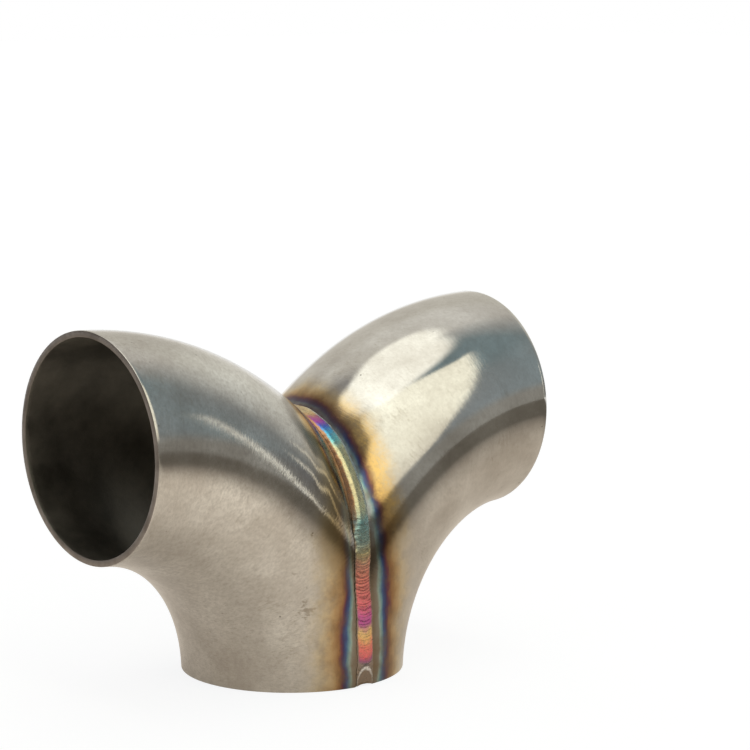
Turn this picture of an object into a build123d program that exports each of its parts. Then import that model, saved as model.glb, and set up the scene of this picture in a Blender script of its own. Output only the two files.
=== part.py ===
from build123d import *
import os
from math import asin, cos, pi, sin, sqrt

# Twin-elbow wye for dairy tube: two 90 degree elbows mitred against each other and joined by one weld bead.
# The origin is the centre of the base port's face. +Z runs up the base port's axis, and the two
# side ports look along -X and +X. Lengths are in millimetres.

# Tube and elbows
tube_diameter = 70.0  # outside diameter, the same at all three ports
wall = 2.0
bend_radius = 80.0  # centreline radius of each elbow
base_trim = 2.0  # faced off each bend at the base port
side_trim = 2.8  # faced off each bend at its side port
edge_break = 0.25  # deburring chamfer round the sawn ports

# Weld bead
bead_width = 6.4  # toe to toe, measured along the two tube surfaces
base_crown = 0.6  # height over the tube at the base, where the two elbows lie flush
crotch_throat = 1.9  # height over the mitre edge in the crotch, where they meet as a deep groove
crater_crown = 0.2  # height at each end of the weld, where the pool sank as it froze
crater_length = 5.0
toe_overlap = 0.25  # how far the raw section runs on past each toe, under the tube surface
root_overlap = 1.0  # depth of the raw section's root under the mitre edge
bead_stations = 28

# The edge that the arc melted back at each end of the weld
scoop_width = 7.0
scoop_depth = 0.7

tube_radius = tube_diameter / 2
bore_radius = tube_radius - wall
side_reach = bend_radius - side_trim
scoop_radius = (scoop_width**2 / 4 + scoop_depth**2) / (2 * scoop_depth)

base_plane = Plane.XY
side_plane = Plane.YZ.offset(side_reach)
mitre_plane = Plane.YZ
bend_start = Plane.XY.offset(-base_trim)
bend_axis = Axis((bend_radius, 0, -base_trim), (0, 1, 0))

# One bent tube filled solid and not yet faced: the outer surface that the bead lies on, and the seam
with BuildPart() as right_envelope:
    with BuildSketch(bend_start):
        Circle(tube_radius)
    revolve(axis=bend_axis, revolution_arc=90)
    split(bisect_by=mitre_plane, keep=Keep.TOP)

# The right elbow: a bent tube, faced square and deburred at both ports, then cut on the mitre plane
with BuildPart() as right_elbow:
    with BuildSketch(bend_start):
        Circle(tube_radius)
        Circle(bore_radius, mode=Mode.SUBTRACT)
    revolve(axis=bend_axis, revolution_arc=90)
    split(bisect_by=base_plane, keep=Keep.TOP)
    split(bisect_by=side_plane, keep=Keep.BOTTOM)
    side_face = right_elbow.faces().filter_by(Plane.YZ).sort_by(Axis.X)[-1]
    base_face = right_elbow.faces().filter_by(Plane.XY).sort_by(Axis.Z)[0]
    chamfer(side_face.edges() + base_face.edges(), edge_break)
    split(bisect_by=mitre_plane, keep=Keep.TOP)
    with Locations((0, 0, scoop_depth - scoop_radius)):
        Cylinder(scoop_radius, 2 * tube_diameter, rotation=(90, 0, 0), mode=Mode.SUBTRACT)
right_elbow.part.label = "right_elbow"

# The left elbow: the same elbow, mirrored on the mitre plane
with BuildPart() as left_elbow:
    mirror(right_elbow.part, about=mitre_plane)
left_elbow.part.label = "left_elbow"

# The seam: the outer edge of the mitre, which runs from one side of the base, over the crotch, to the other
mitre_face = right_envelope.faces().filter_by(Plane.YZ).sort_by(Axis.X)[0]
seam = mitre_face.edges().sort_by(Edge.length)[-1]
seam_facing = 1 if (seam @ 0).Y > 0 else -1  # keeps each section's y axis outward, whichever end is first
run_out = base_trim / 2 / seam.length  # the share of the seam left off at each end, below the base


def groove_slope(point):
    """The angle by which each tube surface rises from the seam at this point: 0 where they lie flush."""
    reach = sqrt(max(tube_radius**2 - point.Y**2, 0))
    return asin(reach / tube_radius * bend_radius / (bend_radius + reach))


def bead_crown(point):
    """The bead's height over the mitre edge at this point of the seam."""
    in_groove = sin(groove_slope(point)) / sin(groove_slope(Vector(0, 0, 0)))
    full = base_crown + (crotch_throat - base_crown) * in_groove
    rise = min(max(point.Z / crater_length, 0), 1)
    return crater_crown + (full - crater_crown) * sin(rise * pi / 2) ** 2


# The weld bead: a low crown lofted along the seam, less the tubes that it lies on
with BuildPart() as weld_bead:
    for station in range(bead_stations + 1):
        spread = (1 - cos(pi * station / bead_stations)) / 2  # stations crowd towards the two craters
        along = run_out + (1 - 2 * run_out) * spread
        point = seam @ along
        slope = groove_slope(point)
        toe_run = bead_width / 2 + toe_overlap
        toe_x = toe_run * cos(slope) + toe_overlap * sin(slope)
        toe_y = toe_run * sin(slope) - toe_overlap * cos(slope)
        with BuildSketch(Plane(origin=point, x_dir=(1, 0, 0), z_dir=(seam % along) * seam_facing)):
            with BuildLine():
                ThreePointArc((-toe_x, toe_y), (0, bead_crown(point)), (toe_x, toe_y))
                Polyline((toe_x, toe_y), (0, -root_overlap), (-toe_x, toe_y))
            make_face()
    loft()
    add(right_envelope.part, mode=Mode.SUBTRACT)
    mirror(right_envelope.part, about=mitre_plane, mode=Mode.SUBTRACT)
    split(bisect_by=base_plane, keep=Keep.TOP)
    with Locations((0, 0, scoop_depth - scoop_radius)):
        Cylinder(scoop_radius, 2 * tube_diameter, rotation=(90, 0, 0), mode=Mode.SUBTRACT)
weld_bead.part.label = "weld_bead"

os.makedirs("parts", exist_ok=True)
export_step(left_elbow.part, "parts/left_elbow.step")
export_step(right_elbow.part, "parts/right_elbow.step")
export_step(weld_bead.part, "parts/weld_bead.step")
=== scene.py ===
# Twin-elbow weld fitting: two polished stainless elbows mitred against each other on x = 0 and joined
# by one weld bead. Metres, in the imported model's frame: the base port stands on z = 0, its axis is +Z,
# and the side ports look along -X and +X.
import bpy
import bmesh
from math import acos, asin, atan2, cos, hypot, pi, radians, sin, sqrt
from mathutils import Matrix, Vector
from mathutils.kdtree import KDTree
from mathutils.noise import noise as noise_at


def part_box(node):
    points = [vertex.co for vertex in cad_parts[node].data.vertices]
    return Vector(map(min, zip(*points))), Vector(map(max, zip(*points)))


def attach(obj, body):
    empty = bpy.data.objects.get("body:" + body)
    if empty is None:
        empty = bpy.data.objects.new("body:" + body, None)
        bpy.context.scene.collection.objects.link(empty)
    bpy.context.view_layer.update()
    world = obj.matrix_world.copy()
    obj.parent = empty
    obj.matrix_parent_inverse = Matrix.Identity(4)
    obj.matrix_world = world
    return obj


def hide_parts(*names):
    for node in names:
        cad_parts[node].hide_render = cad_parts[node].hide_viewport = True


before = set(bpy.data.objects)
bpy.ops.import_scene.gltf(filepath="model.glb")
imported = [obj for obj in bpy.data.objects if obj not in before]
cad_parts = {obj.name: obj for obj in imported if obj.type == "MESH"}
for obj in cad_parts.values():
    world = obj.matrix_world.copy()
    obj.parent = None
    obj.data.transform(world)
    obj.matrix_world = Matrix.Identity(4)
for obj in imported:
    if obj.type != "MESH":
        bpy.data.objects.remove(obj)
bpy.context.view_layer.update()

# --- Camera ---------------------------------------------------------------------------------
# A long lens a little above the side ports, turned 41 degrees from the front toward the left one.
view_turn = radians(-40.92)
view_rise = radians(8.52)
view_roll = radians(0.12)
view_distance = 0.8757
aim = Vector((0.03445, 0.0, 0.08919))

back = Vector((sin(view_turn) * cos(view_rise), -cos(view_turn) * cos(view_rise), sin(view_rise)))
level = Vector((cos(view_turn), sin(view_turn), 0))
upright = back.cross(level)
right = level * cos(view_roll) + upright * sin(view_roll)
up = upright * cos(view_roll) - level * sin(view_roll)
pointing = Matrix((right, up, back)).transposed().to_4x4()
camera = bpy.data.objects.new("camera", bpy.data.cameras.new("camera"))
camera.data.lens = 131.4
camera.data.sensor_width = 36
camera.data.clip_start = 0.05
camera.matrix_world = Matrix.Translation(aim + back * view_distance) @ pointing
bpy.context.scene.collection.objects.link(camera)
bpy.context.scene.camera = camera
bpy.context.scene.view_settings.view_transform = "Standard"


# --- Studio ---------------------------------------------------------------------------------
# A room with a large soft box overhead, another at the right beside three thin upright lamps, a white
# sweep behind the fitting and a pale floor under it. Angles in the room are in degrees: turn goes round
# the fitting from the front, which is where the camera stands, and rise goes up from the horizon.
def put(tree, kind, inputs=(), **settings):
    """One shader node, its settings and its inputs: a socket to link from, or a plain value."""
    node = tree.nodes.new(kind)
    for name, value in settings.items():
        setattr(node, name, value)
    for key, value in dict(inputs).items():
        if isinstance(value, bpy.types.NodeSocket):
            tree.links.new(value, node.inputs[key])
        else:
            node.inputs[key].default_value = value
    return node


def reckon(tree, operation, *values):
    """A Math node's result."""
    return put(tree, "ShaderNodeMath", enumerate(values), operation=operation).outputs[0]


def spread(tree, value, low, high, to_low=0.0, to_high=1.0, kind="LINEAR"):
    """A value carried from one range to another and held at its ends."""
    ranges = {0: value, 1: low, 2: high, 3: to_low, 4: to_high}
    return put(tree, "ShaderNodeMapRange", ranges, interpolation_type=kind).outputs[0]


def ramp(tree, value, stops, kind="LINEAR"):
    """A colour ramp from (place, colour) stops."""
    node = put(tree, "ShaderNodeValToRGB", {0: value})
    node.color_ramp.interpolation = kind
    while len(node.color_ramp.elements) < len(stops):
        node.color_ramp.elements.new(0.5)
    for element, (place, colour) in zip(node.color_ramp.elements, stops):
        element.position = place
        element.color = (*colour, 1)
    return node.outputs[0]


def blend(tree, share, one, other):
    """A colour between two, by share."""
    node = tree.nodes.new("ShaderNodeMix")
    node.data_type = "RGBA"
    for socket, value in ((node.inputs[0], share), (node.inputs[6], one), (node.inputs[7], other)):
        if isinstance(value, bpy.types.NodeSocket):
            tree.links.new(value, socket)
        else:
            socket.default_value = (*value, 1) if isinstance(value, tuple) else value
    return node.outputs[2]


def toward(tree, direction, axis):
    """How far a direction points along an axis."""
    ends = {0: direction, 1: tuple(axis)}
    return put(tree, "ShaderNodeVectorMath", ends, operation="DOT_PRODUCT").outputs["Value"]


studio = bpy.data.worlds.new("studio")
studio.use_nodes = True
bpy.context.scene.world = studio
sky = studio.node_tree
sky.nodes.clear()
front = Vector((-0.655, -0.756, 0))
front_right = Vector((0.756, -0.655, 0))
radian = 180 / pi
heading = put(sky, "ShaderNodeTexCoord").outputs["Generated"]
ahead = toward(sky, heading, front)
across = toward(sky, heading, front_right)
height = toward(sky, heading, (0, 0, 1))
rise = reckon(sky, "MULTIPLY", reckon(sky, "ARCSINE", height), radian)
turn = reckon(sky, "MULTIPLY", reckon(sky, "ARCTAN2", across, ahead), radian)
turn_share = spread(sky, turn, -180, 180)


def around(lights):
    """A light that changes with the turn, from (turn, colour) pairs."""
    return ramp(sky, turn_share, [((angle + 180) / 360, colour) for angle, colour in lights])


# The walls near the floor, at the fitting's height and above it: dim in front, pale behind
low_room = around([
    (-180, (0.88, 0.85, 0.78)),
    (-150, (0.55, 0.52, 0.47)),
    (-115, (0.30, 0.28, 0.25)),
    (20, (0.22, 0.20, 0.18)),
    (65, (0.32, 0.31, 0.28)),
    (88, (0.34, 0.33, 0.30)),
    (104, (0.20, 0.20, 0.20)),
    (122, (0.25, 0.25, 0.24)),
    (145, (0.98, 0.96, 0.90)),
    (165, (1.02, 1.00, 0.93)),
    (180, (0.88, 0.85, 0.78)),
])
mid_room = around([
    (-180, (0.68, 0.65, 0.58)),
    (-155, (0.76, 0.73, 0.66)),
    (-120, (0.42, 0.40, 0.37)),
    (-60, (0.33, 0.32, 0.31)),
    (60, (0.33, 0.35, 0.36)),
    (90, (0.28, 0.34, 0.36)),
    (112, (0.30, 0.32, 0.32)),
    (128, (0.68, 0.68, 0.63)),
    (150, (0.84, 0.83, 0.75)),
    (180, (0.68, 0.65, 0.58)),
])
high_room = around([
    (-180, (0.86, 0.84, 0.78)),
    (-140, (0.86, 0.84, 0.77)),
    (-118, (0.36, 0.35, 0.34)),
    (40, (0.33, 0.34, 0.35)),
    (72, (0.26, 0.35, 0.38)),
    (108, (0.25, 0.32, 0.34)),
    (125, (0.45, 0.47, 0.46)),
    (145, (0.74, 0.72, 0.67)),
    (180, (0.86, 0.84, 0.78)),
])
lit_room = blend(sky, spread(sky, rise, 7, 15, kind="SMOOTHSTEP"), low_room, mid_room)
lit_room = blend(sky, spread(sky, rise, 34, 50, kind="SMOOTHSTEP"), lit_room, high_room)

# The soft box at the right: brightest at the top, its foot just over the horizon. Its right edge leans,
# and lies in the plane through the fitting that has this normal, given along front, right and up.
edge_normal = (0.851, -0.4545, 0.2635)
edge_blur = 0.012
box_foot, box_foot_end = 10, 12.5
foot_light, top_light = (1.02, 0.96, 0.80), (1.42, 1.39, 1.17)
side_edge = reckon(sky, "MULTIPLY", across, edge_normal[1])
side_edge = reckon(sky, "MULTIPLY_ADD", ahead, edge_normal[0], side_edge)
side_edge = reckon(sky, "ADD", side_edge, reckon(sky, "MULTIPLY", height, edge_normal[2]))
under_top = reckon(sky, "SUBTRACT", spread(sky, turn, 35, 78, 69, 57), rise)
past_left = reckon(sky, "SUBTRACT", turn, spread(sky, rise, 50, 68, 25, 3))
side_box = spread(sky, side_edge, -edge_blur, edge_blur, kind="SMOOTHSTEP")
side_box = reckon(sky, "MULTIPLY", side_box, spread(sky, rise, box_foot, box_foot_end, kind="SMOOTHSTEP"))
side_box = reckon(sky, "MULTIPLY", side_box, spread(sky, under_top, -1, 1))
side_box = reckon(sky, "MULTIPLY", side_box, spread(sky, past_left, -5, 5, kind="SMOOTHSTEP"))
side_light = blend(sky, spread(sky, rise, 11, 27), foot_light, top_light)
lit_room = blend(sky, side_box, lit_room, side_light)

# The thin upright lamps: turn, width, foot, top and light of each
upright_lamps = [
    (94, 2.8, -3, 25, (1.10, 1.08, 0.96)),
    (109, 2.4, 0, 12, (0.95, 0.92, 0.80)),
    (120, 2.4, 5, 16, (0.95, 0.92, 0.80)),
]
side_blur, end_blur = 0.5, 1.5
for lamp_turn, lamp_width, lamp_foot, lamp_top, lamp_light in upright_lamps:
    off_lamp = reckon(sky, "ABSOLUTE", reckon(sky, "SUBTRACT", turn, lamp_turn))
    half = lamp_width / 2
    lamp = spread(sky, off_lamp, half + side_blur, half - side_blur, kind="SMOOTHSTEP")
    over_foot = spread(sky, rise, lamp_foot - end_blur, lamp_foot + end_blur, kind="SMOOTHSTEP")
    below_top = spread(sky, rise, lamp_top + end_blur, lamp_top - end_blur, kind="SMOOTHSTEP")
    lamp = reckon(sky, "MULTIPLY", reckon(sky, "MULTIPLY", lamp, over_foot), below_top)
    lit_room = blend(sky, lamp, lit_room, lamp_light)

# The soft box overhead: the rise of its rim, which sits lower behind and at the right than in front
rim_rises = [(-180, 64.5), (-145, 66.5), (-118, 71), (-20, 70), (30, 64),
             (75, 64.5), (105, 67), (135, 70.5), (158, 67), (180, 64.5)]
overhead_light = (1.57, 1.56, 1.41)
over_rim = around([(angle, (rim_rise / 100,) * 3) for angle, rim_rise in rim_rises])
over_rim = spread(sky, over_rim, 0, 1, 0, 100)
over_box = spread(sky, reckon(sky, "SUBTRACT", rise, over_rim), -2, 4, kind="SMOOTHSTEP")
lit_room = blend(sky, over_box, lit_room, overhead_light)

# The white sweep: the whole background to the eye, and the band behind the fitting in its own steel
rays = put(sky, "ShaderNodeLightPath").outputs
behind = spread(sky, ahead, -0.90, -0.98, kind="SMOOTHSTEP")
behind = reckon(sky, "MULTIPLY", behind, spread(sky, rise, 9, 3))
white = reckon(sky, "MAXIMUM", rays["Is Camera Ray"], rays["Is Transmission Ray"])
white = reckon(sky, "MAXIMUM", white, reckon(sky, "MULTIPLY", rays["Is Glossy Ray"], behind))
backdrop = blend(sky, white, lit_room, (1.0, 1.0, 1.0))
background = put(sky, "ShaderNodeBackground", {"Color": backdrop, "Strength": 1.0})
put(sky, "ShaderNodeOutputWorld", {"Surface": background.outputs[0]})

# The floor: white to the eye and at the back, where it is a faint grey under a glow, so that it keeps the
# fitting's shadow. What the steel mirrors of the rest is a warm board with painted light and shade: paler
# at the right, toward the soft box, darker in painted shade at the left, and dark far off, with a painted
# glow at the left and another in front.
floor_half = 6
board_painted_shade_left, board_painted_light_right, board_far = (0.63, 0.56, 0.52), (0.93, 0.83, 0.76), (0.24, 0.22, 0.20)
painted_glow_left_colour, painted_glow_left_strength = (1.0, 0.93, 0.80), 0.24
painted_glow_front_colour, painted_glow_front_strength = (1.0, 0.93, 0.84), 0.34
white_grey, white_colour, white_strength = (0.22, 0.22, 0.22), (0.985, 0.99, 1.0), 0.86


def glow(tree, colour, strength):
    """Light of a surface's own."""
    return put(tree, "ShaderNodeEmission", {"Color": (*colour, 1), "Strength": strength}).outputs[0]


floor_mesh = bmesh.new()
bmesh.ops.create_grid(floor_mesh, x_segments=1, y_segments=1, size=floor_half)
floor = bpy.data.objects.new("floor", bpy.data.meshes.new("floor"))
floor_mesh.to_mesh(floor.data)
floor_mesh.free()
bpy.context.scene.collection.objects.link(floor)
floor_paint = bpy.data.materials.new("floor_paint")
floor_paint.use_nodes = True
tree = floor_paint.node_tree
tree.nodes.clear()
rays = put(tree, "ShaderNodeLightPath").outputs
spot = put(tree, "ShaderNodeTexCoord").outputs["Object"]
to_front = toward(tree, spot, front)
to_right = toward(tree, spot, front_right)
away = put(tree, "ShaderNodeVectorMath", {0: spot}, operation="LENGTH").outputs["Value"]
# Painted light and shade: the board is paler toward the soft box at the right and darker at the left
board_with_painted_light = blend(tree, spread(tree, to_right, -0.08, 0.09), board_painted_shade_left, board_painted_light_right)
board_with_painted_light = blend(tree, spread(tree, away, 0.17, 0.42), board_with_painted_light, board_far)
to_back_right = reckon(tree, "SUBTRACT", to_right, to_front)
# A painted glow on the board at the left
lift = glow(tree, painted_glow_left_colour, spread(tree, to_back_right, 0.02, 0.13, painted_glow_left_strength, 0.0))
# A painted glow on the board in front
painted_glow_front = reckon(tree, "MULTIPLY", spread(tree, to_front, 0.062, 0.088), spread(tree, to_right, 0.06, -0.06))
painted_glow_front = reckon(tree, "MULTIPLY", painted_glow_front, spread(tree, away, 0.26, 0.20, 0.0, painted_glow_front_strength))
mirrored = put(tree, "ShaderNodeBsdfDiffuse", {"Color": board_with_painted_light}).outputs[0]
mirrored = put(tree, "ShaderNodeAddShader", {0: mirrored, 1: lift}).outputs[0]
mirrored = put(tree, "ShaderNodeAddShader", {0: mirrored, 1: glow(tree, painted_glow_front_colour, painted_glow_front)}).outputs[0]
pale = put(tree, "ShaderNodeBsdfDiffuse", {"Color": (*white_grey, 1)}).outputs[0]
pale = put(tree, "ShaderNodeAddShader", {0: pale, 1: glow(tree, white_colour, white_strength)}).outputs[0]
sweep = spread(tree, to_front, -0.16, -0.40, kind="SMOOTHSTEP")
seen = reckon(tree, "MAXIMUM", rays["Is Camera Ray"], rays["Is Transmission Ray"])
seen = reckon(tree, "MAXIMUM", seen, reckon(tree, "MULTIPLY", rays["Is Glossy Ray"], sweep))
seen_or_mirrored = put(tree, "ShaderNodeMixShader", {0: seen, 1: mirrored, 2: pale})
put(tree, "ShaderNodeOutputMaterial", {"Surface": seen_or_mirrored.outputs[0]})
floor.data.materials.append(floor_paint)

# --- Elbows ---------------------------------------------------------------------------------
# Two short-radius 90 degree elbows of 70 x 2 mm stainless dairy tube, sawn square at the ports and
# mitred against each other. The outside is belt polished, the bore is as drawn.
MM = 0.001
wall = 2 * MM
bend_radius = 80 * MM
edge_break = 0.25 * MM
scoop_half, scoop_depth = 3.5 * MM, 0.7 * MM
steps_round, steps_along = 192, 64
crowding = 0.25  # how far the points round the tube crowd towards the seam
seam_pitch = 0.5 * MM

right_low, right_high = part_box("right_elbow")
tube_radius = (right_high.y - right_low.y) / 2
bore_radius = tube_radius - wall
side_reach = right_high.x
side_trim = bend_radius - side_reach
base_trim = sqrt((bend_radius + tube_radius) ** 2 - side_trim**2) - right_high.z
scoop_radius = (scoop_half**2 + scoop_depth**2) / (2 * scoop_depth)
bend_centre = Vector((bend_radius, 0, -base_trim))


def scoop(x):
    """Height over the base plane of the edge that the weld melted back, x away from the seam."""
    return max(sqrt(scoop_radius**2 - x**2) - scoop_radius + scoop_depth, 0) if abs(x) < scoop_radius else 0


def seam_point(angle):
    """A point of the seam: 0 is the crotch, a quarter turn is where it meets the base."""
    reach = tube_radius * cos(angle)
    height = sqrt((bend_radius + reach) ** 2 - bend_radius**2) - base_trim
    return Vector((0, tube_radius * sin(angle), height))


def wall_ring(bm, radius):
    """A ring of the tube's section at the start of the bend."""
    ring = bmesh.ops.create_circle(bm, segments=steps_round, radius=radius)["verts"]
    for vert in ring:
        even = atan2(vert.co.y, -vert.co.x)
        angle = even + crowding * sin(2 * even)
        vert.co = Vector((-radius * cos(angle), radius * sin(angle), -base_trim))


def draw_back(vert):
    """Slides a point of the bent tube along its own bend line, to end the tube at the ports and the mitre."""
    offset = vert.co - bend_centre
    reach = hypot(offset.x, offset.z)
    share = atan2(offset.z, -offset.x) / (pi / 2)
    start = asin(base_trim / reach)
    start = asin((base_trim + scoop(bend_radius - reach * cos(start))) / reach)
    if reach > bend_radius:
        start = max(start, acos(bend_radius / reach))
    bend = start + (acos(side_trim / reach) - start) * share
    vert.co = bend_centre + Vector((-reach * cos(bend), offset.y, reach * sin(bend)))


bm = bmesh.new()
wall_ring(bm, tube_radius)
wall_ring(bm, bore_radius)
bmesh.ops.bridge_loops(bm, edges=bm.edges)
bmesh.ops.spin(bm, geom=bm.faces[:] + bm.edges[:] + bm.verts[:], cent=bend_centre, axis=(0, 1, 0),
               angle=pi / 2, steps=steps_along)
for vert in bm.verts:
    draw_back(vert)
bmesh.ops.recalc_face_normals(bm, faces=bm.faces)
outside, bore, rim = range(3)
skin = 0.3 * MM  # how near a face has to lie to the outside or the bore to be part of it
for face in bm.faces:
    offset = face.calc_center_median() - bend_centre
    from_middle = hypot(hypot(offset.x, offset.z) - bend_radius, offset.y)
    face.material_index = outside if from_middle > tube_radius - skin else bore
    if bore_radius + skin < from_middle < tube_radius - skin:
        face.material_index = rim
hair = 1e-5
square = 1.0  # radians between two faces that meet in a sawn edge
sharp = [edge for edge in bm.edges if edge.calc_face_angle(0) > square]
at_side = [edge for edge in sharp if all(vert.co.x > side_reach - hair for vert in edge.verts)]
at_base = [edge for edge in sharp if all(vert.co.z < scoop_depth + hair for vert in edge.verts)
           and any(vert.co.x > hair for vert in edge.verts)]
bmesh.ops.bevel(bm, geom=at_side + at_base, offset=edge_break, segments=2, affect="EDGES", profile=0.5,
                material=-1)
for vert in bm.verts:
    vert.co.z = max(vert.co.z, 0)
bmesh.ops.recalc_face_normals(bm, faces=bm.faces)


def seam_places(pitch):
    """Angles of the seam's points from one side of the base to the other, one pitch of its length apart,
    and that length."""
    fine = 4000
    last = pi / 2 - 1e-3  # a hair short of the base, where the seam stands upright
    stops = [(-1 + 2 * k / fine) * last for k in range(fine + 1)]
    places = [seam_point(angle) for angle in stops]
    runs = [0.0]
    for one, other in zip(places, places[1:]):
        runs.append(runs[-1] + (other - one).length)
    count = round(runs[-1] / pitch)
    angles = []
    j = 0
    for k in range(count + 1):
        goal = runs[-1] * k / count
        while j < fine - 1 and runs[j + 1] < goal:
            j += 1
        angles.append(stops[j] + (stops[j + 1] - stops[j]) * (goal - runs[j]) / (runs[j + 1] - runs[j]))
    return angles, runs[-1]


seam_angles, seam_length = seam_places(seam_pitch)
seam_line = [seam_point(angle) for angle in seam_angles]
seam_tree = KDTree(len(seam_line))
for k, place in enumerate(seam_line):
    seam_tree.insert(place, k)
seam_tree.balance()


def from_seam(place):
    """Distance of a point from the seam line, in millimetres."""
    index = seam_tree.find(place)[1]
    nearest = 1.0
    for k in (max(index - 1, 0), min(index, len(seam_line) - 2)):
        start, run = seam_line[k], seam_line[k + 1] - seam_line[k]
        share = min(max((place - start).dot(run) / run.length_squared, 0), 1)
        nearest = min(nearest, (place - start - run * share).length)
    return nearest / MM


def elbow(name, side):
    """The right elbow, or its mirror image, with its distance from the seam, girth and bend as attributes."""
    if side < 0:
        bmesh.ops.scale(bm, vec=(-1, 1, 1), verts=bm.verts)
        bmesh.ops.reverse_faces(bm, faces=bm.faces)
    mesh = bpy.data.meshes.new(name)
    bm.to_mesh(mesh)
    mesh.shade_smooth()
    mesh.set_sharp_from_angle(angle=radians(35))
    seam_gap = mesh.attributes.new("seam_gap", "FLOAT", "POINT")
    bend_place = mesh.attributes.new("bend_place", "FLOAT_VECTOR", "POINT")
    for vert in mesh.vertices:
        offset = Vector((side * vert.co.x, vert.co.y, vert.co.z)) - bend_centre
        reach = hypot(offset.x, offset.z)
        girth = atan2(offset.y, reach - bend_radius)
        seam_gap.data[vert.index].value = from_seam(vert.co)
        bend_place.data[vert.index].vector = (cos(girth), sin(girth), atan2(offset.z, -offset.x))
    piece = bpy.data.objects.new(name, mesh)
    bpy.context.scene.collection.objects.link(piece)
    return piece


def effect(name, inputs, outputs):
    """An empty node group: its tree, and its input sockets by name."""
    group = bpy.data.node_groups.new(name, "ShaderNodeTree")
    for label, kind, value in inputs:
        socket = group.interface.new_socket(label, in_out="INPUT", socket_type=kind)
        if value is not None:
            socket.default_value = value
    for label, kind in outputs:
        group.interface.new_socket(label, in_out="OUTPUT", socket_type=kind)
    return group, group.nodes.new("NodeGroupInput").outputs


def use(tree, group, inputs):
    """A node group placed in a material."""
    node = tree.nodes.new("ShaderNodeGroup")
    node.node_tree = group
    for key, value in inputs.items():
        tree.links.new(value, node.inputs[key])
    return node.outputs


def noise(tree, place, scale, detail=2.0, roughness=0.5, dimensions="3D"):
    """A noise texture's value, about 0.5."""
    inputs = {"Scale": scale, "Detail": detail, "Roughness": roughness}
    inputs["W" if dimensions == "1D" else "Vector"] = place
    return put(tree, "ShaderNodeTexNoise", inputs, noise_dimensions=dimensions).outputs[0]


def stretched(tree, place, scale):
    """A place scaled along each axis, for patterns that are longer one way than the other."""
    return put(tree, "ShaderNodeMapping", {"Vector": place, "Scale": scale}).outputs[0]


# Oxide colours beside the weld: bare grey against the bead, then pale teal, blue, purple, bronze and straw,
# each band a little wavy. Gap is the distance from the seam in millimetres, Reach stretches the whole of it,
# in parts of its usual width, Cool lays pale blue streaks over the grey, and the last input darkens what lies
# nearest the bead to a dark brown.
heat_tint, given = effect("heat_tint", [
    ("Steel", "NodeSocketColor", (0.63, 0.62, 0.58, 1)),
    ("Gap", "NodeSocketFloat", 0.0),
    ("Place", "NodeSocketVector", None),
    ("Reach", "NodeSocketFloat", 1.0),
    ("Cool", "NodeSocketFloat", 0.0),
    ("Crotch_dark", "NodeSocketFloat", 0.0),
], [("Colour", "NodeSocketColor")])
tree = heat_tint
tint_width = 25.0  # mm
wander = reckon(tree, "MULTIPLY_ADD", noise(tree, given["Place"], 75, 4), 0.70, 0.65)
frayed = noise(tree, stretched(tree, given["Place"], (1, 1, 0.25)), 900, 3)
frayed = reckon(tree, "MULTIPLY_ADD", frayed, 1.6, -0.8)
gap = reckon(tree, "DIVIDE", given["Gap"], reckon(tree, "MULTIPLY", given["Reach"], wander))
gap = reckon(tree, "MULTIPLY_ADD", frayed, spread(tree, gap, 3, 9), gap)
oxide = ramp(tree, reckon(tree, "DIVIDE", gap, tint_width), [
    (0.00, (0.19, 0.15, 0.11)),
    (0.135, (0.20, 0.16, 0.12)),
    (0.19, (0.25, 0.23, 0.19)),
    (0.215, (0.31, 0.41, 0.37)),
    (0.245, (0.16, 0.29, 0.34)),
    (0.275, (0.07, 0.11, 0.24)),
    (0.31, (0.07, 0.06, 0.13)),
    (0.34, (0.15, 0.06, 0.08)),
    (0.39, (0.31, 0.17, 0.08)),
    (0.48, (0.46, 0.32, 0.17)),
    (0.62, (0.59, 0.49, 0.32)),
    (1.00, (0.63, 0.62, 0.58)),
])
pale_blue, scorched, near_bead_brown = (0.40, 0.48, 0.52), (0.17, 0.12, 0.07), (0.15, 0.09, 0.09)
streaky = noise(tree, stretched(tree, given["Place"], (1, 1, 0.3)), 420, 3, 0.6)
cool = reckon(tree, "MULTIPLY", spread(tree, streaky, 0.38, 0.58), spread(tree, gap, 6.6, 5.0))
oxide = blend(tree, reckon(tree, "MULTIPLY", cool, given["Cool"]), oxide, pale_blue)
burnt = noise(tree, given["Place"], 160, 5, 0.65)
oxide = blend(tree, spread(tree, burnt, 0.42, 0.70, 0, 0.65), oxide, scorched)
# Darker brown for what lies nearest the bead
near_bead_dark = spread(tree, reckon(tree, "MULTIPLY_ADD", burnt, 3.0, given["Gap"]), 9.5, 7.0)
oxide = blend(tree, reckon(tree, "MULTIPLY", near_bead_dark, given["Crotch_dark"]), oxide, near_bead_brown)
fade = spread(tree, reckon(tree, "MULTIPLY_ADD", burnt, 8.0, gap), 15, 29, kind="SMOOTHSTEP")
put(tree, "NodeGroupOutput", {"Colour": blend(tree, fade, oxide, given["Steel"])})

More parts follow.
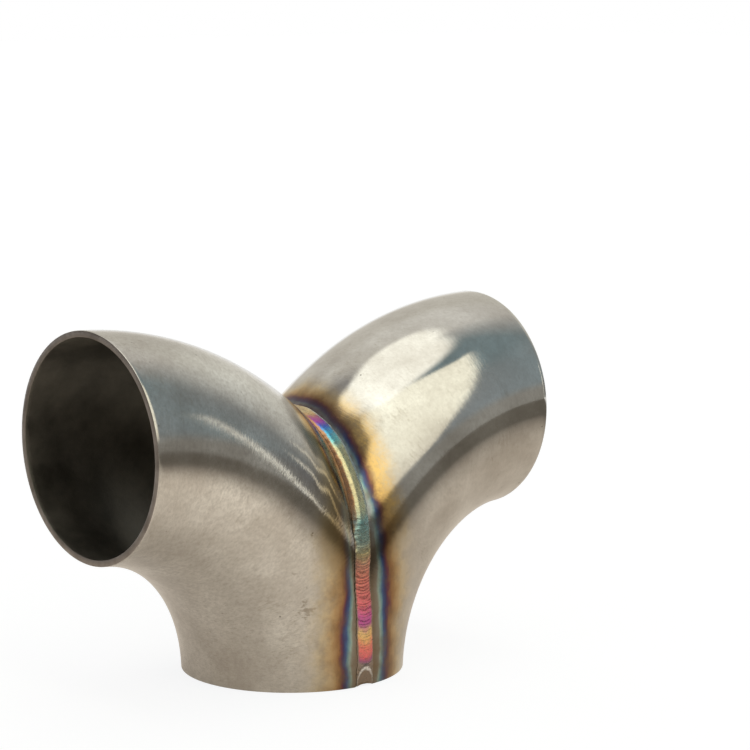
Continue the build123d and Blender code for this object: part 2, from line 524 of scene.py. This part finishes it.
# Belt polish: fine lines round the tube, a few long stray scratches, soft cloudy patches in the shine, dull
# smears that handling left, and small dark pits. Place is the girth and bend, Spot a point of the piece.
belt_polish, given = effect("belt_polish", [
    ("Place", "NodeSocketVector", None),
    ("Spot", "NodeSocketVector", None),
], [
    ("Height", "NodeSocketFloat"),
    ("Rings", "NodeSocketFloat"),
    ("Cloud", "NodeSocketFloat"),
    ("Smear", "NodeSocketFloat"),
    ("Speck", "NodeSocketFloat"),
    ("Scratch", "NodeSocketFloat"),
    ("Mottle", "NodeSocketFloat"),
])
tree = belt_polish
fine = noise(tree, stretched(tree, given["Place"], (3, 3, 300)), 1.0, 3, 0.6)
crossed = noise(tree, stretched(tree, given["Place"], (90, 90, 30)), 1.0, 4, 0.6)
rings = noise(tree, stretched(tree, given["Place"], (14, 14, 150)), 1.0, 2, 0.55)
cloud = noise(tree, given["Spot"], 38, 6, 0.62)
blotch = noise(tree, given["Spot"], 60, 5, 0.7)
dappled = noise(tree, stretched(tree, given["Place"], (26, 26, 120)), 1.0, 4, 0.7)
mottle = reckon(tree, "MULTIPLY_ADD", noise(tree, given["Spot"], 620, 4, 0.7), 0.5,
                reckon(tree, "MULTIPLY", dappled, 0.5))
streak = noise(tree, stretched(tree, given["Place"], (4, 4, 34)), 3.0, 5, 0.66)
smear = reckon(tree, "MULTIPLY_ADD", streak, 0.5, reckon(tree, "MULTIPLY", blotch, 0.5))
smear = spread(tree, smear, 0.56, 0.70)


def lots(place, scale):
    """Cells over the surface: the distance from each one's middle, and two numbers drawn for each."""
    cells = put(tree, "ShaderNodeTexVoronoi", {"Vector": place, "Scale": scale}, feature="F1").outputs
    drawn = put(tree, "ShaderNodeSeparateColor", {0: cells["Color"]}).outputs
    return cells["Distance"], drawn[0], drawn[1]


def stray(tilt, count, chance_over):
    """Thin scratches that run one way over the surface, as a mask."""
    turned = put(tree, "ShaderNodeMapping", {"Vector": given["Spot"], "Rotation": tilt}).outputs[0]
    off_line, drawn, _ = lots(stretched(tree, turned, (1, 1, 0.12)), count)
    thin = spread(tree, off_line, 0.05, 0.02)
    return reckon(tree, "MULTIPLY", thin, reckon(tree, "GREATER_THAN", drawn, chance_over))


off_pit, drawn, pit_share = lots(given["Spot"], 330.0)
pit_size = spread(tree, pit_share, 0, 1, 0.04, 0.14)
speck = spread(tree, reckon(tree, "SUBTRACT", pit_size, off_pit), 0, 0.06)
speck = reckon(tree, "MULTIPLY", speck, reckon(tree, "GREATER_THAN", drawn, 0.88))
scratch = reckon(tree, "MAXIMUM", stray((0.5, 0.2, 0.0), 420.0, 0.86), stray((-0.4, 0.9, 0.3), 380.0, 0.88))
scratch = reckon(tree, "MAXIMUM", scratch, stray((1.3, 0.1, 0.6), 300.0, 0.90))
put(tree, "NodeGroupOutput", {
    "Height": reckon(tree, "MULTIPLY_ADD", crossed, 0.35, fine),
    "Rings": rings,
    "Cloud": cloud,
    "Smear": smear,
    "Speck": speck,
    "Scratch": scratch,
    "Mottle": mottle,
})


def metal(name):
    """A bare metal: its material, its tree and its shader."""
    material = bpy.data.materials.new(name)
    material.use_nodes = True
    shader = material.node_tree.nodes["Principled BSDF"]
    shader.inputs["Metallic"].default_value = 1
    return material, material.node_tree, shader


def relief(tree, height, depth, under=None):
    """The normal of a height that goes as deep as given, laid over another normal if there is one."""
    inputs = {"Strength": 1.0, "Distance": depth, "Height": height}
    if under is not None:
        inputs["Normal"] = under
    return put(tree, "ShaderNodeBump", inputs).outputs[0]


def dress(tree, shader, colour, roughness, normal):
    """Gives a metal its colour, roughness and normal."""
    tree.links.new(colour, shader.inputs["Base Color"])
    tree.links.new(roughness, shader.inputs["Roughness"])
    tree.links.new(normal, shader.inputs["Normal"])


dull_skin, bright_skin = (0.51, 0.485, 0.450), (0.74, 0.73, 0.70)
mottled_skin, smeared_skin, smudge_brown = (0.38, 0.35, 0.32), (0.32, 0.28, 0.22), (0.16, 0.12, 0.07)
gold, smoke_brown = (0.76, 0.50, 0.18), (0.38, 0.29, 0.15)
pit_black, scratch_white = (0.06, 0.05, 0.04), (0.80, 0.79, 0.75)
ring_depth, line_depth = 0.05 * MM, 0.007 * MM
least_roughness = 0.045


def polished_steel(name, reaches, pull, ringing, shine, smudges, gilding, smoking, mottling):
    """The outside of an elbow. Reaches lists how far the heat went at heights in millimetres, pull is the
    depth of the waves that the weld drew into the wall, ringing is how plain the belt's rings are along the
    flank, shine is the roughness in the brightest and dullest places, and smudges lists brown marks: place,
    size and depth. Gilding is how gold and smoking how brown the steel went beyond the tint, high up beside
    the seam, and mottling is how blotchy the skin is."""
    material, tree, shader = metal(name)
    spot = put(tree, "ShaderNodeTexCoord").outputs["Object"]
    gap = put(tree, "ShaderNodeAttribute", attribute_name="seam_gap").outputs["Fac"]
    place = put(tree, "ShaderNodeAttribute", attribute_name="bend_place").outputs["Vector"]
    level = put(tree, "ShaderNodeSeparateXYZ", {0: spot}).outputs[2]
    polish = use(tree, belt_polish, {"Place": place, "Spot": spot})

    # The bare skin, its smears and its smudges
    patchy = blend(tree, spread(tree, polish["Cloud"], 0.36, 0.66), dull_skin, bright_skin)
    patchy = blend(tree, spread(tree, polish["Mottle"], 0.42, 0.64, 0, mottling), patchy, mottled_skin)
    patchy = blend(tree, reckon(tree, "MULTIPLY", polish["Smear"], 0.5), patchy, smeared_skin)
    for middle, size, depth in smudges:
        off_middle = put(tree, "ShaderNodeVectorMath", {0: spot, 1: middle}, operation="DISTANCE")
        torn = noise(tree, stretched(tree, spot, (1, 1, 1.8)), 330, 6, 0.8)
        torn = reckon(tree, "SUBTRACT", torn, 0.5)
        off_middle = reckon(tree, "MULTIPLY_ADD", torn, 9.0 * size, off_middle.outputs["Value"])
        patchy = blend(tree, spread(tree, off_middle, size, 0.4 * size, 0, depth), patchy, smudge_brown)

    # The heat tint, whose reach is read off a ramp over 100 mm of height, then gold and smoke beyond it
    reach = [(height / 100, (share / 2,) * 3) for height, share in reaches]
    reach = reckon(tree, "MULTIPLY", ramp(tree, spread(tree, level, 0, 0.1), reach, "EASE"), 2.0)
    cool = spread(tree, level, 0.042, 0.058)
    # Darker brown nearest the bead, high up by the crotch, as strong as the gilding
    crotch_dark = spread(tree, level, 0.0745, 0.0785, 0, 0.9 * gilding)
    tint = use(tree, heat_tint, {
        "Steel": patchy, "Gap": gap, "Place": spot, "Reach": reach, "Cool": cool, "Crotch_dark": crotch_dark})
    waved = reckon(tree, "SUBTRACT", gap, 4.5)
    waved = reckon(tree, "MULTIPLY_ADD", noise(tree, spot, 130, 4, 0.6), 9.0, waved)
    gilded = spread(tree, waved, 19, 10, kind="SMOOTHSTEP")
    gilded = reckon(tree, "MULTIPLY", spread(tree, waved, 7.5, 9.5), gilded)
    gilded = reckon(tree, "MULTIPLY", gilded, spread(tree, polish["Mottle"], 0.36, 0.6, 0.5, 1.4))
    high_up = reckon(tree, "MULTIPLY", spread(tree, level, 0.046, 0.056), spread(tree, level, 0.090, 0.074))
    gilded = reckon(tree, "MULTIPLY", gilded, high_up)
    marked = blend(tree, reckon(tree, "MULTIPLY", gilded, gilding), tint["Colour"], gold)
    smoked = spread(tree, waved, 25, 11, kind="SMOOTHSTEP")
    smoked = reckon(tree, "MULTIPLY", spread(tree, waved, 3.5, 5.0), smoked)
    smoked = reckon(tree, "MULTIPLY", smoked, spread(tree, level, 0.030, 0.050, 0, 0.7))
    marked = blend(tree, reckon(tree, "MULTIPLY", smoked, smoking), marked, smoke_brown)
    marked = blend(tree, reckon(tree, "MULTIPLY", polish["Speck"], 0.8), marked, pit_black)
    marked = blend(tree, reckon(tree, "MULTIPLY", polish["Scratch"], 0.5), marked, scratch_white)

    # The belt's rings show most along the flank of the bend, where the skin is also brightest
    girth_x, girth_y, bend = put(tree, "ShaderNodeSeparateXYZ", {0: place}).outputs
    girth = reckon(tree, "ARCTAN2", reckon(tree, "ABSOLUTE", girth_y), girth_x)
    girth = reckon(tree, "MULTIPLY", girth, radian)
    bend = reckon(tree, "MULTIPLY", bend, radian)
    flank = reckon(tree, "MULTIPLY", spread(tree, girth, 52, 62), spread(tree, girth, 90, 80))
    flank = reckon(tree, "MULTIPLY", flank, spread(tree, bend, 84, 55, 0.1, ringing))
    shine = spread(tree, polish["Cloud"], 0.32, 0.68, *shine)
    shine = reckon(tree, "MULTIPLY_ADD", polish["Smear"], 0.12, shine)
    shine = reckon(tree, "MULTIPLY_ADD", spread(tree, polish["Mottle"], 0.35, 0.65), 0.05, shine)
    shine = reckon(tree, "MAXIMUM", reckon(tree, "MULTIPLY_ADD", flank, -0.11, shine), least_roughness)

    # The wall drew in a little beside the weld as it cooled
    swayed = reckon(tree, "MULTIPLY_ADD", noise(tree, spot, 18, 0.0), 4.0, gap)
    drawn = noise(tree, swayed, 0.14, 0.0, 0.5, dimensions="1D")
    beside_weld = reckon(tree, "MULTIPLY", spread(tree, gap, 3, 7), spread(tree, gap, 26, 12))
    normal = relief(tree, reckon(tree, "MULTIPLY", drawn, beside_weld), pull)
    ringed = reckon(tree, "MULTIPLY", polish["Rings"], reckon(tree, "MULTIPLY_ADD", flank, 0.26, 0.10))
    normal = relief(tree, ringed, ring_depth, normal)
    dress(tree, shader, marked, shine, relief(tree, polish["Height"], line_depth, normal))
    return material


# The bore is as drawn: dull and a little brown, and its colour is darkened with painted shade for the inside
# of the tube
bore_steel, tree, shader = metal("drawn_bore_painted_shade")
bore_dark_painted_shade, bore_light_painted_shade = (0.17, 0.16, 0.14), (0.31, 0.29, 0.25)
spot = put(tree, "ShaderNodeTexCoord").outputs["Object"]
stain = noise(tree, spot, 70, 5, 0.65)
dress(tree, shader, blend(tree, spread(tree, stain, 0.35, 0.7), bore_dark_painted_shade, bore_light_painted_shade),
      spread(tree, stain, 0.3, 0.7, 0.42, 0.56), relief(tree, noise(tree, spot, 1400, 3, 0.6), 0.03 * MM))

# The sawn rims: grey-brown, with marks across the wall
rim_steel, tree, shader = metal("sawn_rim")
rim_dark, rim_light = (0.20, 0.175, 0.16), (0.38, 0.345, 0.325)
spot = put(tree, "ShaderNodeTexCoord").outputs["Object"]
marks = noise(tree, spot, 900, 4, 0.6)
patches = noise(tree, spot, 120, 3, 0.6)
dress(tree, shader, blend(tree, spread(tree, patches, 0.3, 0.7), rim_dark, rim_light),
      spread(tree, marks, 0.3, 0.7, 0.28, 0.5), relief(tree, marks, 0.06 * MM))

right_polish = polished_steel(
    "right_elbow_polish", reaches=[(10, 1.16), (48, 1.0), (62, 0.86), (74, 0.76), (84, 0.80)],
    pull=0.08 * MM, ringing=0.0, shine=(0.040, 0.075), smudges=[], gilding=0.7, smoking=0.0, mottling=0.28)
left_polish = polished_steel(
    "left_elbow_polish", reaches=[(10, 1.0), (50, 0.95), (84, 0.6)],
    pull=0.20 * MM, ringing=1.0, shine=(0.115, 0.185),
    smudges=[
        ((-0.020, -0.032, 0.026), 0.0026, 0.6),
        ((-0.013, -0.034, 0.030), 0.0015, 0.5),
        ((-0.0245, -0.033, 0.0275), 0.0015, 0.4),
        ((-0.0205, -0.035, 0.0505), 0.0007, 1.0),
        ((-0.008, -0.0345, 0.022), 0.0012, 0.5),
        ((-0.026, -0.034, 0.038), 0.0012, 0.4),
    ],
    gilding=0.0, smoking=1.0, mottling=0.55)
for name, side, polish in (("right_elbow_tube", 1, right_polish), ("left_elbow_tube", -1, left_polish)):
    tube = elbow(name, side)
    tube.data.materials.append(polish)
    tube.data.materials.append(bore_steel)
    tube.data.materials.append(rim_steel)
    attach(tube, "root")
    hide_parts(name.replace("_tube", ""))
bm.free()

# --- Weld bead ------------------------------------------------------------------------------
# One TIG fusion pass along the seam, from a crater at one side of the base, over the crotch, to the other.
# It is rippled and film-coloured low down and draws up to a smooth ridge in the corner above.
bead_width = 6.4 * MM
base_crown, crotch_throat, crater_crown = 0.6 * MM, 1.9 * MM, 0.2 * MM
crater_length = 5 * MM
bead_pitch = 0.15 * MM
crown_points = 24
outline_points = crown_points + 4
root_sink, root_depth = 0.5 * MM, 0.8 * MM
bare_end = 0.9  # the share of the half width that the root's outer points stand at

# The rest of the bead's form is in mm, and runs along the seam go from 0 at each crater up to the crotch
ripple_pitch = 1.05
ripple_height, lump_height, grain_height = 0.055, 0.075, 0.025
ripple_fade = [(0, 0.4), (7, 1), (40, 1), (50, 0.45), (60, 0.07), (100, 0.05)]
settle, ridge_crown = 0.175, 0.75
crown_lift = [(0, -settle), (22, -settle), (40, 0), (52, ridge_crown), (78, ridge_crown), (96, 0.1)]
wander_stops = [(0, 0.1), (9, 0.35), (20, 0), (33, -0.6), (45, 0.5), (58, 1.1), (72, 0.7), (88, 0.2), (99, 0)]
toe_fade = [(0, 1), (45, 1), (60, 0.4), (100, 0.4)]
crater_span, crater_dip, crater_lip = 5.8, 0.24, 0.17
dish_shape = [(0, 1), (0.55, 0.9), (0.85, 0)]
lip_shape = [(0.65, 0), (0.85, 1), (1.0, 1), (1.4, 0)]


def between(place, stops):
    """A value read off a list of (place, value) stops, eased from each to the next."""
    for (low, one), (high, other) in zip(stops, stops[1:]):
        if place <= high:
            share = min(max((place - low) / (high - low), 0), 1)
            return one + (other - one) * share * share * (3 - 2 * share)
    return stops[-1][1]


def grain_at(*place):
    """Smooth noise, about 0."""
    return noise_at(Vector(place))


def rippled(run, u, side):
    """Height that the weld pool froze with: uneven crescents, deeper in the lower half of each side."""
    crescent = run + 1.1 * grain_at(run / 2.3, side, 0) - 1.1 * u * u
    crescent += 0.12 * grain_at(run / 1.4, 2 * u, side)
    fine = abs(2 * ((crescent / ripple_pitch) % 1) - 1)
    wide = grain_at(crescent / 1.25, 0.6 * u, side + 4)
    lumps = grain_at(run / 0.6, 2.2 * u, side + 9)
    rough = between(run, ripple_fade)
    return rough * (ripple_height * (fine - 0.5) + lump_height * wide + grain_height * lumps)


def bead_section(angle, run):
    """The bead's outline at one place of the seam: the crown from the left toe to the right one, then the
    root."""
    point = seam_point(angle)
    reach = tube_radius * cos(angle)
    over_bend = max(point.z + base_trim, 1e-6)
    along = Vector((0, reach, -(bend_radius + reach) * tube_radius * sin(angle) / over_bend)).normalized()
    outward = Vector((0, -along.z, along.y))
    slope = asin(reach / tube_radius * bend_radius / (bend_radius + reach))
    steepest = asin(bend_radius / (bend_radius + tube_radius))
    side = 0 if run < seam_length / 2 else 20
    run = min(run, seam_length - run) / MM
    full = base_crown + (crotch_throat - base_crown) * sin(slope) / sin(steepest)
    rise = sin(min(max(point.z / crater_length, 0), 1) * pi / 2) ** 2
    crown = crater_crown + (full + MM * between(run, crown_lift) - crater_crown) * rise
    wander = MM * between(run, wander_stops)
    section = []
    for k in range(crown_points + 1):
        u = 2 * k / crown_points - 1
        toe_side = 5 * (u > 0)
        ragged = 0.30 * grain_at(run / 1.4, toe_side, side) + 0.25 * grain_at(run / 5.0, toe_side, side)
        half = bead_width / 2 + MM * ragged * rise * between(run, toe_fade)
        bowl = u * u + (run / crater_span) ** 2
        dish = -crater_dip * between(bowl, dish_shape) * (1 - u**4)
        lip = crater_lip * between(bowl, lip_shape) * (1 - u**10)
        toe = (half + wander * (1 if u > 0 else -1)) * sin(slope)
        lift = crown + (toe - crown) * u * u + MM * (rippled(run, u, side) * (1 - u**4) + dish + lip)
        section.append(point + Vector((half * cos(slope) * u + wander * cos(slope), 0, 0)) + outward * lift)
    for part in (bare_end, 0, -bare_end):
        toe = (bead_width / 2 * abs(part) + wander * part) * sin(slope)
        under = toe - root_sink if part else -root_depth
        across = (bead_width / 2 * part + wander) * cos(slope)
        section.append(point + Vector((across, 0, 0)) + outward * under)
    return section


bead_angles = seam_places(bead_pitch)[0]
sections = [bead_section(angle, k * bead_pitch) for k, angle in enumerate(bead_angles)]
bm = bmesh.new()
bmesh.ops.create_grid(bm, x_segments=outline_points, y_segments=len(bead_angles) - 1, size=1)
for vert in bm.verts:
    k = round((vert.co.x + 1) / 2 * outline_points) % outline_points
    station = round((vert.co.y + 1) / 2 * (len(bead_angles) - 1))
    vert.co = sections[station][k]
bmesh.ops.remove_doubles(bm, verts=bm.verts, dist=1e-7)
bmesh.ops.holes_fill(bm, edges=[edge for edge in bm.edges if edge.is_boundary], sides=0)
for vert in bm.verts:
    vert.co.z = max(vert.co.z, scoop(vert.co.x))
bmesh.ops.recalc_face_normals(bm, faces=bm.faces)
bead_mesh = bpy.data.meshes.new("weld_bead_run")
bm.to_mesh(bead_mesh)
bm.free()
bead_mesh.shade_smooth()
bead_mesh.set_sharp_from_angle(angle=radians(60))
bead_place = bead_mesh.attributes.new("bead_place", "FLOAT_VECTOR", "POINT")
for vert in bead_mesh.vertices:
    index = seam_tree.find(vert.co)[1]
    run = index * seam_pitch / MM
    if 0 < index < len(seam_line) - 1:
        along = (seam_line[index + 1] - seam_line[index - 1]).normalized()
        run += (vert.co - seam_line[index]).dot(along) / MM
    run = min(run, seam_length / MM - run)
    off_line = vert.co.x / MM - between(run, wander_stops)
    bead_place.data[vert.index].vector = (off_line, run, vert.co.y / MM)
bead = bpy.data.objects.new("weld_bead_run", bead_mesh)
bpy.context.scene.collection.objects.link(bead)

# The film colours along the bead, by run over 100 mm, in crescents as the ripples are
weld_metal, tree, shader = metal("weld_metal")
spot = put(tree, "ShaderNodeTexCoord").outputs["Object"]
place = put(tree, "ShaderNodeAttribute", attribute_name="bead_place").outputs["Vector"]
off_line, run, _ = put(tree, "ShaderNodeSeparateXYZ", {0: place}).outputs
off_centre = reckon(tree, "ABSOLUTE", off_line)
film_run = reckon(tree, "MULTIPLY_ADD", reckon(tree, "POWER", off_centre, 2.0), -0.16, run)
film_run = reckon(tree, "ADD", film_run, reckon(tree, "MULTIPLY_ADD", noise(tree, spot, 350, 3), 3.0, -1.5))
film_share = reckon(tree, "DIVIDE", film_run, 100.0)
film = ramp(tree, film_share, [
    (0.000, (0.24, 0.19, 0.15)),
    (0.045, (0.24, 0.19, 0.15)),
    (0.058, (0.30, 0.24, 0.22)),
    (0.072, (0.34, 0.12, 0.24)),
    (0.09, (0.80, 0.18, 0.20)),
    (0.12, (0.84, 0.26, 0.20)),
    (0.145, (0.84, 0.52, 0.22)),
    (0.165, (0.80, 0.56, 0.26)),
    (0.185, (0.50, 0.12, 0.36)),
    (0.215, (0.62, 0.14, 0.38)),
    (0.245, (0.80, 0.20, 0.24)),
    (0.33, (0.82, 0.27, 0.22)),
    (0.375, (0.70, 0.36, 0.26)),
    (0.405, (0.62, 0.54, 0.30)),
    (0.44, (0.34, 0.46, 0.42)),
    (0.50, (0.24, 0.44, 0.44)),
    (0.54, (0.60, 0.60, 0.38)),
    (0.60, (0.66, 0.58, 0.34)),
    (0.735, (0.70, 0.66, 0.40)),
    (0.765, (0.22, 0.60, 0.60)),
    (0.795, (0.08, 0.42, 0.68)),
    (0.820, (0.05, 0.12, 0.56)),
    (0.845, (0.38, 0.05, 0.42)),
    (0.872, (0.50, 0.16, 0.24)),
    (0.888, (0.62, 0.40, 0.18)),
    (0.910, (0.74, 0.58, 0.30)),
    (1.000, (0.62, 0.44, 0.20)),
])
flank = ramp(tree, film_share, [
    (0.00, (0.24, 0.20, 0.16)),
    (0.40, (0.26, 0.22, 0.17)),
    (0.52, (0.30, 0.22, 0.12)),
    (0.62, (0.42, 0.20, 0.09)),
    (0.88, (0.42, 0.22, 0.12)),
    (1.00, (0.40, 0.24, 0.12)),
])
right_flank, left_flank, slag_brown = (0.50, 0.58, 0.56), (0.46, 0.24, 0.12), (0.27, 0.21, 0.16)
on_flank = reckon(tree, "MULTIPLY_ADD", noise(tree, spot, 500, 2), 0.8, off_centre)
colour = blend(tree, spread(tree, on_flank, 2.8, 3.5, kind="SMOOTHSTEP"), film, flank)
past_ridge = reckon(tree, "MULTIPLY_ADD", noise(tree, spot, 450, 3), 0.9, off_line)
past_ridge = spread(tree, past_ridge, 1.9, 2.6, kind="SMOOTHSTEP")
upper_run = reckon(tree, "MULTIPLY", spread(tree, run, 50, 58), spread(tree, run, 96, 86))
colour = blend(tree, reckon(tree, "MULTIPLY", past_ridge, upper_run), colour, right_flank)
before_ridge = reckon(tree, "MULTIPLY", off_line, -1.0)
before_ridge = reckon(tree, "MULTIPLY_ADD", noise(tree, spot, 450, 3), 0.9, before_ridge)
before_ridge = spread(tree, before_ridge, 1.9, 2.5, kind="SMOOTHSTEP")
colour = blend(tree, reckon(tree, "MULTIPLY", before_ridge, spread(tree, run, 48, 56)), colour, left_flank)
colour = blend(tree, spread(tree, noise(tree, spot, 1100, 4, 0.7), 0.46, 0.74, 0, 0.7), colour, slag_brown)

# The crater's lip: a painted highlight on its raised rim, a bright horseshoe open to the base, plainest at
# its crown
lip_painted_highlight = (0.74, 0.73, 0.72)
bowl = reckon(tree, "POWER", reckon(tree, "DIVIDE", off_centre, bead_width / 2 / MM), 2.0)
bowl = reckon(tree, "ADD", bowl, reckon(tree, "POWER", reckon(tree, "DIVIDE", run, crater_span), 2.0))
bowl = reckon(tree, "MULTIPLY_ADD", noise(tree, spot, 900, 3), 0.3, reckon(tree, "SUBTRACT", bowl, 0.15))
lip_inside = reckon(tree, "SUBTRACT", bowl, spread(tree, run, 3.0, 5.5, 0.72, 0.50))
lip = reckon(tree, "MULTIPLY", spread(tree, lip_inside, 0.0, 0.14), spread(tree, bowl, 1.16, 0.98))
broken = spread(tree, noise(tree, spot, 1300, 3, 0.7), 0.35, 0.6, 0.25, 1)
lip = reckon(tree, "MULTIPLY", lip, reckon(tree, "MULTIPLY", broken, spread(tree, run, 1.5, 4.8, 0.25, 1)))
colour = blend(tree, lip, colour, lip_painted_highlight)

gloss = spread(tree, noise(tree, spot, 800, 3, 0.6), 0.35, 0.65, 0.15, 0.30)
grain = noise(tree, stretched(tree, spot, (1, 1, 2.5)), 1100, 3, 0.6)
grain = reckon(tree, "MULTIPLY_ADD", grain, 2.0, noise(tree, spot, 2600, 4, 0.6))
dress(tree, shader, colour, gloss, relief(tree, grain, 0.02 * MM))
bead.data.materials.append(weld_metal)
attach(bead, "root")
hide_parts("weld_bead")
